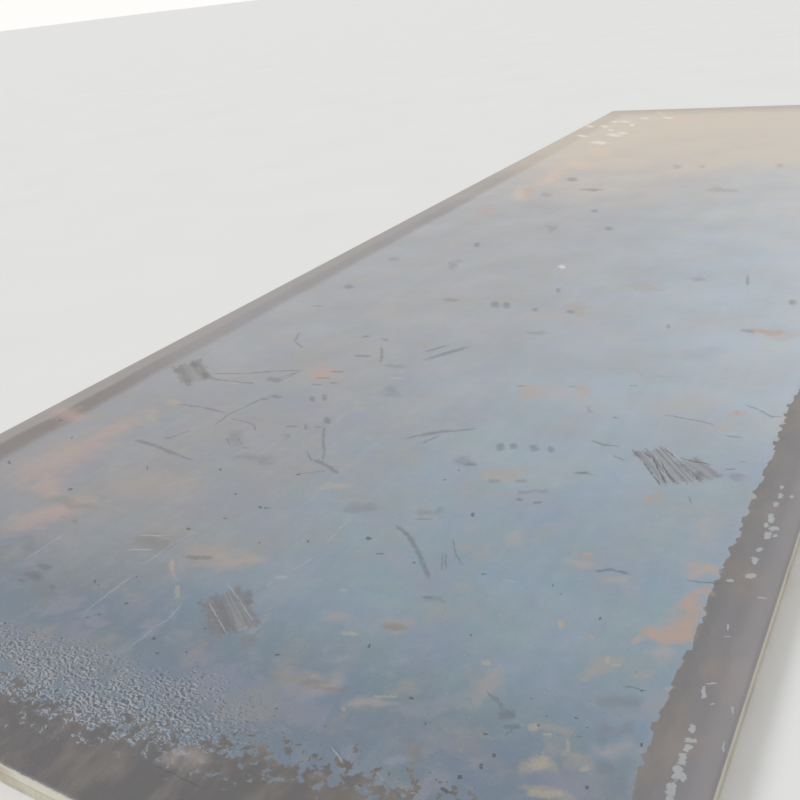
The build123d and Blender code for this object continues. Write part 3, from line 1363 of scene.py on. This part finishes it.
        # The same blisters read a little towards the light: the difference paints a pale lit side
        # and a dark shaded side.
        shaded = graph.clouds(squeezed + (0.0017, 0.0021, 0.0), self.blisters, 2.0, 0.6)
        amount = (blisters - shaded) * zone * 3.8
        skin.lay(zone * 0.45, self.belt)
        skin.lay(amount.rise(0.06, 0.36) * 0.75, self.blister_highlight, 0.35)
        skin.lay(amount.rise(-0.05, -0.28) * 0.85, self.blister_shade, 0.45)
        # Darker in the hollows between the blisters.
        skin.lay(blisters.rise(0.39, 0.32) * zone * 0.8, self.dark)
        skin.height = skin.height + blisters.rise(0.45, 0.60) * zone * self.blister_height

    def mark(self, graph: Graph, skin: Skin, place: Wire, area: Area) -> None:
        """Lays the marks of handling and weather on a part of the top face.

        Where marks cross, the later one gives way a little. Each batch of ovals waits for the
        one before through that, because a shader holds only so many values at a time.

        Args:
            graph: The graph to add to.
            skin: The surface so far.
            place: The places, in metres.
            area: The part of the top.
        """
        tight = graph.wander(place, self.wobbles[0], self.wobble_reaches[0])
        loose = graph.wander(tight, self.wobbles[1], self.wobble_reaches[1])
        for scuff in SCUFFS:
            if area.meets(scuff.patch):
                dark, inside, bright = scuff.cover(graph, place)
                skin.lay(inside * 0.40, self.scuff_bare, 0.45)
                skin.lay(dark * 0.56, self.scuff_dark, 0.4)
                skin.lay(bright * 0.18, self.scuff_bright, 0.35)
        textures: dict[float, Wire] = {}
        grain = graph.clouds(place, 70.0, 3.0, 0.65)
        for kind in Kind:
            look, threes, nearest = kind.value, trios(area.ovals(kind)), None
            if not threes:
                continue
            start = loose if look.loose else tight
            for first in range(0, len(threes), self.batch):
                x, y = (start.part(axis).thrice() for axis in "XY")
                for three in threes[first : first + self.batch]:
                    here = three.reach(x, y)
                    nearest = here if nearest is None else nearest.smaller(here)
                start = start + nearest.smaller((1.0, 1.0, 1.0)) * self.crossing
            if look.grain not in textures:
                textures[look.grain] = graph.clouds(place, look.grain, 3.0, 0.65)
            least = nearest.part("X").smaller(nearest.part("Y")).smaller(nearest.part("Z"))
            texture = (textures[look.grain] - 0.5) * look.rag
            cover = (1 - least.root() + texture).rise(0.0, look.fade)
            skin.lay(cover * (grain * 0.8 + 0.6) * look.cover, look.colour, look.roughness)
            late = cover * self.crossing
            tight, loose = tight + late, loose + late

    def wear_and_highlight_border(self, graph: Graph, skin: Skin, spot: Wire, place: Wire) -> None:
        """Rubs the rolled-over border bright: wear, with a painted highlight of the rounded edge.

        Args:
            graph: The graph to add to.
            skin: The surface so far.
            spot: The true places, in metres.
            place: The places, with the two faces apart.
        """
        broken = graph.clouds(place, 60.0, 2.0, 0.65)
        drop = self.thickness - spot.part("Z") + (broken - 0.5) * 0.002
        share = drop.rise(0.0013, 0.0028) * drop.rise(self.thickness * 0.6, self.thickness * 0.4)
        dull = spot.part("X").rise(self.width / 2 - 0.03, self.width / 2 - 0.01) * 0.65
        skin.lay(share * (0.8 - dull), self.worn, 0.38)


@dataclass(frozen=True)
class ShearedSteel:
    """The finish of the sheared faces."""

    rubbed: Colour = (0.680, 0.650, 0.540)
    torn: Colour = (0.580, 0.555, 0.455)
    joint: Colour = (0.160, 0.150, 0.130)
    stain: Colour = (0.300, 0.220, 0.150)
    dark: Colour = (0.120, 0.115, 0.105)
    light: Colour = (0.800, 0.780, 0.700)

    def material(self) -> bpy.types.Material:
        """Makes the finish.

        Returns:
            The material of the rubbed band and the torn one below it.
        """
        graph = Graph(bpy.data.materials.new("sheared_steel"))
        spot = graph.wire("TexCoord", {}, {}, "Object")
        torn = graph.wire("Attribute", {"attribute_name": TORN}, {}, "Fac")
        lines = graph.clouds(spot * (1.0, 1.0, 160.0), 4.0, 3.0, 0.6)
        tears = graph.clouds(spot * (1.0, 1.0, 0.3), 260.0, 4.0, 0.65)
        stains = graph.clouds(spot, 9.0, 4.0)
        colour = graph.mixed(self.rubbed, self.torn, torn)
        relief = (tears - 0.5) * torn * 0.5 + (lines - 0.5) * (1 - torn) * 0.10
        skin = Skin(colour, torn * 0.18 + 0.34 + (tears - 0.5) * 0.2, relief)
        tone = (tears - 0.5) * torn * 1.1 + (lines - 0.5) * (1 - torn) * 0.7
        skin.tint(tone, self.dark, self.light)
        seam = torn.rise(0.02, 0.25) * torn.rise(0.8, 0.4)
        skin.lay(seam * 0.7, self.joint, 0.6)
        skin.lay(stains.rise(0.5, 0.75) * 0.5, self.stain, 0.6)
        return graph.close(skin, metallic=0.35)


@dataclass(frozen=True)
class EdgeOutline:
    """A sheared edge, from the top face down. Sizes are in millimetres.

    Attributes:
        thickness: The plate's thickness.
        rollover_run: How far in the rolled-over border reaches.
        rollover_drop: How far down it reaches.
        rubbed_height: The height of the rubbed band.
        setback: How far the torn band's foot stands back.
        foot_bevel: The bevel at the foot.
        nick_radius: The radius of a nick.
        nick_depth: How far in a nick reaches.
        arc_steps: How many rings the rolled-over border has.
        rubbed_steps: How many the rubbed band has.
        torn_steps: How many the torn band has.
    """

    thickness: float
    rollover_run: float = 7.0
    rollover_drop: float = 3.5
    rubbed_height: float = 17.0
    setback: float = 1.5
    foot_bevel: float = 1.2
    nick_radius: float = 3.0
    nick_depth: float = 1.2
    arc_steps: int = 6
    rubbed_steps: int = 3
    torn_steps: int = 9

    @property
    def torn_top(self) -> float:
        """The mean height at which the torn band starts."""
        return self.thickness - self.rollover_drop - self.rubbed_height

    def rings(self, joint: np.ndarray) -> list[tuple[np.ndarray, np.ndarray, float]]:
        """The rings of vertices round the plate, from the top face to the underside.

        Args:
            joint: The height of the rubbed band's foot at each column.

        Returns:
            For each ring its inset and height at each column, and its share of the torn relief.
        """
        level = np.zeros_like(joint)
        radius = (self.rollover_run**2 + self.rollover_drop**2) / (2 * self.rollover_drop)
        sweep = math.asin(self.rollover_run / radius)
        found = []
        for step in range(self.arc_steps + 1):
            angle = sweep * step / self.arc_steps
            inset = self.rollover_run - radius * math.sin(angle)
            height = self.thickness - radius * (1 - math.cos(angle))
            found.append((level + inset, level + height, 0.0))
        rollover_foot = self.thickness - self.rollover_drop
        for step in range(1, self.rubbed_steps + 1):
            share = step / self.rubbed_steps
            found.append((level, rollover_foot + (joint - rollover_foot) * share, 0.0))
        for step in range(1, self.torn_steps + 1):
            height = joint + (self.foot_bevel - joint) * step / self.torn_steps
            lean = (self.torn_top - height) / (self.torn_top - self.foot_bevel)
            relief = 1.0 if step < self.torn_steps else 0.4
            found.append((self.setback * lean.clip(0.0, 1.0), height, relief))
        found.append((level + self.setback + self.foot_bevel, level, 0.0))
        return found

    def nicked(self, inset: np.ndarray, height: np.ndarray, offset: np.ndarray) -> np.ndarray:
        """Cuts the nicks where two strokes of the side trim meet.

        Args:
            inset: A ring's inset at each column.
            height: Its height at each column.
            offset: How far each column is from the nearest nick's middle.

        Returns:
            The inset with the nicks.
        """
        radius = self.nick_radius - self.setback * height / self.thickness
        axis = self.nick_radius - self.setback - self.nick_depth
        reach = np.sqrt((radius**2 - offset**2).clip(0.0)) - axis
        return np.maximum(inset, reach)


@dataclass(frozen=True)
class Patch:
    """A place on the bake map for one part of the surface.

    Attributes:
        u: Its left end on the map.
        v: Its lower end.
        wide: How much of the map's width a metre takes.
        tall: How much of its height.
    """

    u: float
    v: float
    wide: float
    tall: float

    def place(self, run: float, rise: float) -> Point:
        """Where on the map a point goes, which is that far along the patch and up it, in mm."""
        return self.u + run * MM * self.wide, self.v + rise * MM * self.tall


NEAR_HALF = Patch(0.004, 0.256, 0.245, 0.245)
FAR_HALF = Patch(0.504, 0.256, 0.245, 0.245)
UNDERSIDE = Patch(0.004, 0.062, 0.092, 0.092)
SIDES = [
    Patch(0.570, 0.160, 0.208, 1.3),
    Patch(0.004, 0.006, 0.164, 0.36),
    Patch(0.570, 0.070, 0.208, 1.3),
    Patch(0.004, 0.034, 0.164, 0.36),
]


class Face(Enum):
    """Which finish a face of the mesh has, by its material slot."""

    SHEARED = 0
    UNDERSIDE = 1
    FIRST_AREA = 2


@dataclass
class Columns:
    """The upright lines of vertices round the plate, anticlockwise from the near left corner.

    Attributes:
        base: Where each stands on the outer outline, in millimetres from the middle.
        out: The outward direction there.
        side: The side that each belongs to: near, right, far or left.
        run: How far along that side it is.
        spare: How far it is from the nearer corner of that side.
        offset: How far it is from the middle of the nearest nick.
    """

    base: np.ndarray
    out: np.ndarray
    side: np.ndarray
    run: np.ndarray
    spare: np.ndarray
    offset: np.ndarray


@dataclass
class RolledPlate:
    """The plate's own mesh and finishes. Sizes are in millimetres.

    Attributes:
        width: The plate's size in X.
        length: Its size in Y.
        thickness: Its size in Z.
        pitch: How far apart the columns of the edges are.
        top_cell: The cell of the top's grid.
        foot_cell: The cell of the underside's grid.
        stroke: How much of a long side one stroke of the shear trims.
        wave: How deep the waves of the rolled faces are.
        waves: How many of them a millimetre holds.
        wave_border: How far from the edge they start to fade.
        torn_relief: How deep the torn band's relief is.
        tears: How many tears a millimetre of the edge holds.
        tear_rows: How many a millimetre of its height holds.
        corner_fade: How far from a corner they start to fade.
        joint_wander: How far the line between the two bands wanders.
        joint_turns: How many turns it takes in a millimetre.
        crease: Above how many degrees two faces meet in a sharp line.
        points: The vertices, in metres.
        torn: How far each vertex belongs to the torn band, from 0 to 1.
        faces: The vertices of each face.
        corners: The place on the bake map of each corner of each face.
        finishes: The material slot of each face.
    """

    width: float
    length: float
    thickness: float
    pitch: float = 10.0
    top_cell: float = TOP_CELL
    foot_cell: float = 40.0
    stroke: float = 1250.0
    wave: float = 0.8
    waves: float = 0.0032
    wave_border: float = 120.0
    torn_relief: float = 0.45
    tears: float = 0.06
    tear_rows: float = 0.12
    corner_fade: float = 30.0
    joint_wander: float = 1.6
    joint_turns: float = 0.012
    crease: float = 28.0
    points: list[tuple[float, float, float]] = field(default_factory=list)
    torn: list[float] = field(default_factory=list)
    faces: list[list[int]] = field(default_factory=list)
    corners: list[Point] = field(default_factory=list)
    finishes: list[int] = field(default_factory=list)

    def __post_init__(self) -> None:
        """Sets out the rolled faces' finish and its areas."""
        self.scale = MillScale(self.width * MM, self.length * MM, self.thickness * MM)
        self.areas = self.scale.areas()

    def area_slot(self, x: float, y: float) -> int:
        """Finds the material slot of the area round a place on the top.

        Args:
            x: The place's X, in millimetres.
            y: Its Y.

        Returns:
            The slot's number.
        """
        for number, area in enumerate(self.areas):
            if area.left <= x <= area.right and area.near <= y <= area.far:
                return Face.FIRST_AREA.value + number
        raise ValueError(f"no area at {x}, {y}")

    def build(self) -> bpy.types.Object:
        """Makes the plate and dresses it.

        Returns:
            The piece.
        """
        outline = EdgeOutline(self.thickness)
        columns = self.columns(outline)
        rings = self.add_rings(outline, columns)
        self.add_edge_faces(columns, rings)
        self.add_rolled_face(columns, 0, self.top_cell, outline.rollover_run, True)
        inset = outline.setback + outline.foot_bevel
        self.add_rolled_face(columns, len(rings) - 1, self.foot_cell, inset, False)
        piece = self.mesh_object("rolled_plate")
        piece.data.materials.append(ShearedSteel().material())
        piece.data.materials.append(self.scale.material())
        for area in self.areas:
            piece.data.materials.append(self.scale.material(area))
        return piece

    def columns(self, outline: EdgeOutline) -> Columns:
        """Sets out the upright lines of vertices, closer together at the nicks.

        Args:
            outline: The edge's outline.

        Returns:
            The columns.
        """
        w, l = self.width / 2, self.length / 2
        starts = [np.array(p) for p in ((-w, -l), (w, -l), (w, l), (-w, l))]
        ways = [np.array(p) for p in ((1, 0), (0, 1), (-1, 0), (0, -1))]
        base, out, side, run, spare, offset = [], [], [], [], [], []
        for number, (start, way) in enumerate(zip(starts, ways)):
            span = self.width if way[0] else self.length
            stops = set(np.arange(0.0, span, self.pitch))
            nicks = self.nicks() if way[1] else []
            for nick in nicks:
                near = np.linspace(-outline.nick_radius, outline.nick_radius, 7)
                stops |= set(nick + near)
            for stop in sorted(stops):
                base.append(start + way * stop)
                out.append((way[1], -way[0]))
                side.append(number)
                run.append(stop)
                spare.append(min(stop, span - stop))
                offset.append(min((abs(stop - nick) for nick in nicks), default=span))
        return Columns(*(np.array(part) for part in (base, out, side, run, spare, offset)))

    def nicks(self) -> list[float]:
        """Sets out the nicks along a long side, one between each two strokes.

        Returns:
            How far along the side each is.
        """
        count = math.ceil(self.length / self.stroke) - 1
        first = (self.length - (count - 1) * self.stroke) / 2
        return [first + self.stroke * number for number in range(count)]

    def add_rings(self, outline: EdgeOutline, columns: Columns) -> list[float]:
        """Adds the vertices down the edges.

        Args:
            outline: The edge's outline.
            columns: The columns.

        Returns:
            How far down the edge's surface each ring is.
        """
        half = np.array((self.width / 2, self.length / 2))
        wander = rough(columns.base, 0.0, self.joint_turns)
        joint = outline.torn_top + self.joint_wander * wander
        rings, girths = outline.rings(joint), []
        before = None
        for inset, height, relief in rings:
            nominal = inset
            tears = rough(columns.base, height * self.tear_rows, self.tears)
            torn = self.torn_relief * relief * (0.5 + tears).clip(0, 1)
            fade = (columns.spare / self.corner_fade).clip(0.0, 1.0)
            inset = outline.nicked(inset + torn * fade, height, columns.offset)
            scaled = columns.base * (1 - nominal[:, None] / half)
            spots = scaled - columns.out * (inset - nominal)[:, None]
            self.points += [(x * MM, y * MM, z * MM) for (x, y), z in zip(spots, height)]
            self.torn += [min(1.0, relief * 3)] * len(height)
            here = np.array((nominal.mean(), height.mean()))
            step = 0.0 if before is None else float(np.linalg.norm(here - before))
            girths.append((girths[-1] if girths else 0.0) + step)
            before = here
        return girths

    def add_edge_faces(self, columns: Columns, girths: list[float]) -> None:
        """Adds the faces down the edges.

        Args:
            columns: The columns.
            girths: How far down the edge's surface each ring is.
        """
        count = len(columns.run)
        rolled_rings = EdgeOutline(self.thickness).arc_steps
        spans = [self.width, self.length] * 2
        for ring in range(len(girths) - 1):
            high, low = girths[-1] - girths[ring], girths[-1] - girths[ring + 1]
            for here in range(count):
                after = (here + 1) % count
                side = columns.side[here]
                same_side = after and columns.side[after] == side
                start = columns.run[here]
                end = columns.run[after] if same_side else spans[side]
                upper, lower = ring * count, (ring + 1) * count
                self.faces.append([upper + here, lower + here, lower + after, upper + after])
                around = ((start, high), (start, low), (end, low), (end, high))
                self.corners += [SIDES[side].place(*corner) for corner in around]
                rolled = ring < rolled_rings
                finish = self.area_slot(*columns.base[here]) if rolled else Face.SHEARED.value
                self.finishes.append(finish)

    def add_rolled_face(
        self, columns: Columns, ring: int, cell: float, inset: float, top: bool
    ) -> None:
        """Fills the top or the underside with a grid that waves a little.

        Args:
            columns: The columns.
            ring: The ring that borders the face.
            cell: The grid's cell.
            inset: The ring's inset.
            top: Whether this is the top face.
        """
        count = len(columns.run)
        known = {tuple(np.round(p * 10).astype(int)): n for n, p in enumerate(columns.base)}
        wide, long = round(self.width / cell), round(self.length / cell)
        level = self.thickness if top else 0.0
        down = -1.0 if top else 1.0
        vertices: dict[tuple[int, int], int] = {}
        for i in range(wide + 1):
            for j in range(long + 1):
                x, y = i * cell - self.width / 2, j * cell - self.length / 2
                if i in (0, wide) or j in (0, long):
                    vertices[i, j] = ring * count + known[round(x * 10), round(y * 10)]
                    continue
                border = min(self.width / 2 - abs(x), self.length / 2 - abs(y))
                spot = Vector((x, y * 0.6, level * 90)) * self.waves
                swell = noise.noise(spot) * 0.5 + 0.5
                swell *= self.wave * min(1.0, border / self.wave_border)
                vertices[i, j] = len(self.points)
                self.points.append(
                    (
                        x * (1 - 2 * inset / self.width) * MM,
                        y * (1 - 2 * inset / self.length) * MM,
                        (level + down * swell) * MM,
                    )
                )
                self.torn.append(0.0)
        for i in range(wide):
            for j in range(long):
                around = [(i, j), (i + 1, j), (i + 1, j + 1), (i, j + 1)]
                border = [j == 0, i + 1 == wide, j + 1 == long, i == 0]
                polygon: list[int] = []
                for spot, after, edge in zip(around, around[1:] + around[:1], border):
                    start = vertices[spot]
                    polygon.append(start)
                    if edge:
                        first, last = start - ring * count, vertices[after] - ring * count
                        between = range(first + 1, first + (last - first) % count)
                        polygon += [ring * count + number % count for number in between]
                self.add_flat_face(polygon if top else polygon[::-1], top)

    def add_flat_face(self, polygon: list[int], top: bool) -> None:
        """Adds a face of the top or the underside, with its places on the bake map.

        Args:
            polygon: Its vertices.
            top: Whether it is on the top face.
        """
        spots = [(self.points[n][0] / MM, self.points[n][1] / MM) for n in polygon]
        far = sum(y for _, y in spots) > 0
        for x, y in spots:
            if not top:
                self.corners.append(UNDERSIDE.place(y + self.length / 2, x + self.width / 2))
            elif far:
                self.corners.append(FAR_HALF.place(x + self.width / 2, y))
            else:
                self.corners.append(NEAR_HALF.place(x + self.width / 2, y + self.length / 2))
        self.faces.append(polygon)
        centre = np.mean(spots, axis=0)
        self.finishes.append(self.area_slot(*centre) if top else Face.UNDERSIDE.value)

    def mesh_object(self, name: str) -> bpy.types.Object:
        """Turns what was gathered into an object.

        Args:
            name: Its name.

        Returns:
            The object, in the scene.
        """
        mesh = bpy.data.meshes.new(name)
        mesh.from_pydata(self.points, [], self.faces)
        mesh.polygons.foreach_set("material_index", self.finishes)
        mesh.shade_smooth()
        mesh.set_sharp_from_angle(angle=math.radians(self.crease))
        bake = mesh.uv_layers.new(name="OFBake")
        bake.uv.foreach_set("vector", np.array(self.corners, np.float32).ravel())
        torn = mesh.attributes.new(TORN, "FLOAT", "POINT")
        torn.data.foreach_set("value", self.torn)
        mesh.update()
        piece = bpy.data.objects.new(name, mesh)
        bpy.context.scene.collection.objects.link(piece)
        return piece


def rough(base: np.ndarray, depth: float | np.ndarray, per_mm: float) -> np.ndarray:
    """Noise round the plate's outline.

    Args:
        base: The places on the outline, in millimetres.
        depth: A third coordinate.
        per_mm: How many of its cells a millimetre holds.

    Returns:
        The noise at each place, from -1 to 1.
    """
    depths = np.broadcast_to(depth, len(base))
    spots = (Vector((x * per_mm, y * per_mm, z)) for (x, y), z in zip(base, depths))
    return np.array([noise.noise(spot) for spot in spots])


@dataclass(frozen=True)
class Studio:
    """The floor and the light. Lengths are in metres and angles in degrees.

    Attributes:
        floor_side: The floor's side.
        floor_colour: Its colour.
        floor_shade: The colour of its darker clouds.
        sky: What the camera and reflections see past the floor.
        fill: How bright the light from all round is.
        key: How strong the light from the near left is.
        key_softness: How wide that light is.
        key_height: How high it stands.
        key_turn: Where it stands, anticlockwise from +X.
    """

    floor_side: float = 600.0
    floor_colour: Colour = (0.78, 0.78, 0.775)
    floor_shade: Colour = (0.74, 0.74, 0.735)
    sky: Colour = (1.0, 0.985, 0.965)
    fill: float = 0.72
    key: float = 1.35
    key_softness: float = 22.0
    key_height: float = 38.0
    key_turn: float = 222.0

    def build(self) -> None:
        """Makes the floor, the light and the camera."""
        self.lay_floor()
        self.light()
        self.place_camera()

    def lay_floor(self) -> None:
        """Lays the pale floor that the plate lies on."""
        half = self.floor_side / 2
        mesh = bpy.data.meshes.new("floor")
        corners = [(-half, -half, 0.0), (half, -half, 0.0), (half, half, 0.0), (-half, half, 0.0)]
        mesh.from_pydata(corners, [], [(0, 1, 2, 3)])
        graph = Graph(bpy.data.materials.new("pale_floor"))
        place = graph.wire("TexCoord", {}, {}, "Object")
        drift_share = graph.clouds(place, 1.5)
        colour = graph.mixed(self.floor_colour, self.floor_shade, drift_share)
        flat = drift_share * 0.0
        mesh.materials.append(graph.close(Skin(colour, flat + 0.9, flat), specular=0.2))
        floor = bpy.data.objects.new("floor", mesh)
        bpy.context.scene.collection.objects.link(floor)

    def light(self) -> None:
        """Sets the light from all round and the soft one from the near left."""
        scene = bpy.context.scene
        scene.world = bpy.data.worlds.new("studio")
        graph = Graph(scene.world)
        rays = graph.node("LightPath")
        direct = Wire(graph, rays.outputs["Is Camera Ray"])
        for kind in ("Glossy", "Transmission"):
            direct = direct.larger(Wire(graph, rays.outputs[f"Is {kind} Ray"]))
        fill = graph.wire("Background", {}, {"Color": (1.0, 1.0, 1.0), "Strength": self.fill})
        sky = graph.wire("Background", {}, {"Color": self.sky, "Strength": 1.0})
        shown = graph.wire("MixShader", {}, {0: direct, 1: fill, 2: sky})
        graph.node("OutputWorld", {}, {"Surface": shown})

        lamp = bpy.data.lights.new("key", "SUN")
        lamp.energy = self.key
        lamp.angle = math.radians(self.key_softness)
        key = bpy.data.objects.new("key", lamp)
        turn = Matrix.Rotation(math.radians(self.key_turn + 90), 4, "Z")
        key.matrix_world = turn @ Matrix.Rotation(math.radians(90 - self.key_height), 4, "X")
        scene.collection.objects.link(key)

    def place_camera(self) -> None:
        """Puts the camera where the plate is seen from its near right corner."""
        lens = bpy.data.cameras.new("camera")
        lens.lens = CAMERA.lens
        lens.clip_end = 2 * self.floor_side
        camera = bpy.data.objects.new("camera", lens)
        camera.matrix_world = CAMERA.pose()
        bpy.context.scene.collection.objects.link(camera)
        bpy.context.scene.camera = camera


def main() -> None:
    """Builds the studio and the plate."""
    logging.basicConfig(level=logging.INFO, format="%(name)s: %(message)s")
    bpy.context.scene.view_settings.view_transform = "Standard"
    Studio().build()
    low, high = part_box(NODE)
    plate = RolledPlate(*(round(span / MM, 3) for span in high - low))
    piece = plate.build()
    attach(piece, "root")
    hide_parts(NODE)
    log.info("%s has %d faces", piece.name, len(piece.data.polygons))


if __name__ == "__main__":
    main()
